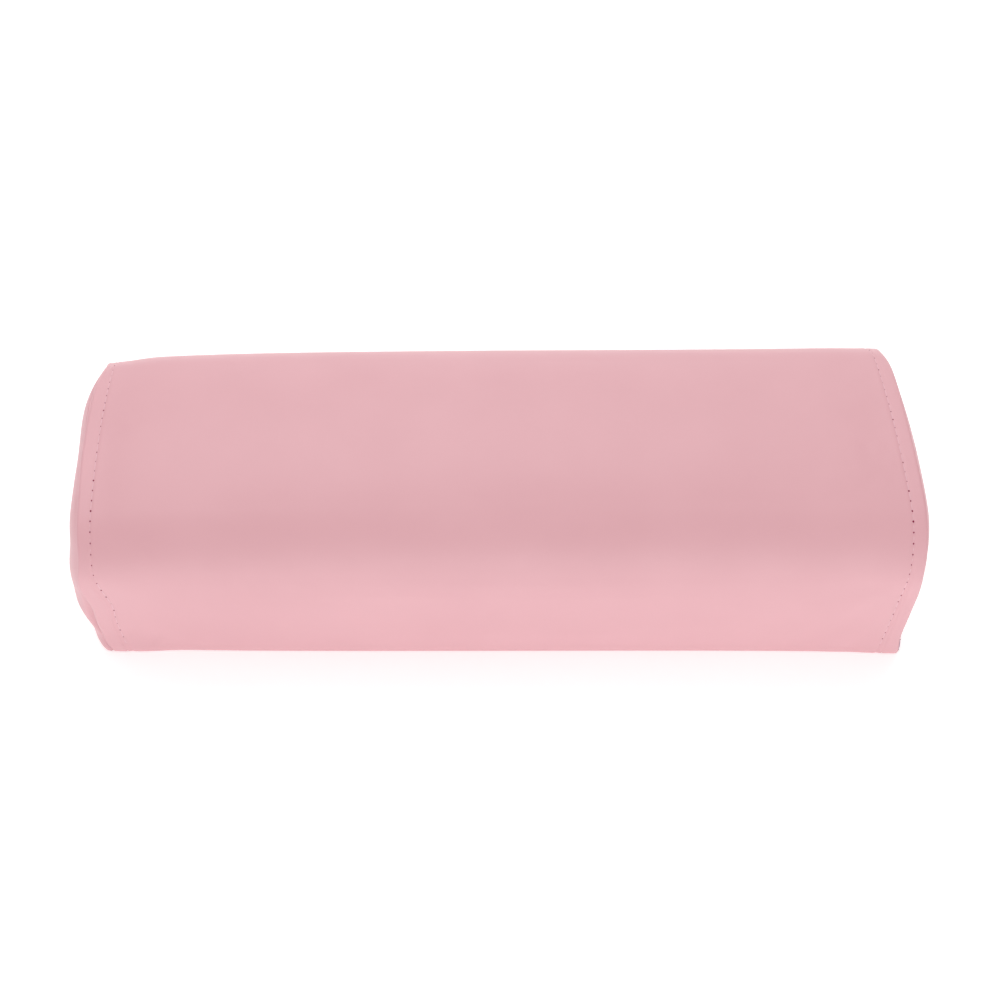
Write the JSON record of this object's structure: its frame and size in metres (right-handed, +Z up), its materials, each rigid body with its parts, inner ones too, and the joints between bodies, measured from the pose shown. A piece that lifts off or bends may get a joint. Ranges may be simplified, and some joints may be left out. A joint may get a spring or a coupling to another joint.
{
  "type": "manicure hand rest",
  "caption": "Loaf-shaped padded cushion with a flat base, a domed top and folded, topstitched end seams, for resting a hand or wrist on a table.",
  "frame": {"origin": "middle of the flat base, on the surface that the cushion stands on", "axes": "+X along the cushion, -Y towards the front, +Z up"},
  "size_m": [0.3002, 0.1068, 0.068],
  "materials": {
    "cover": "smooth soft pink synthetic leather with a low satin sheen",
    "foam": "open-cell cream foam"
  },
  "bodies": {
    "root": {"top_cover": "cover", "end_panel_left": "cover", "end_panel_right": "cover", "base_panel": "cover", "foam_core": "foam"}
  },
  "joints": []
}
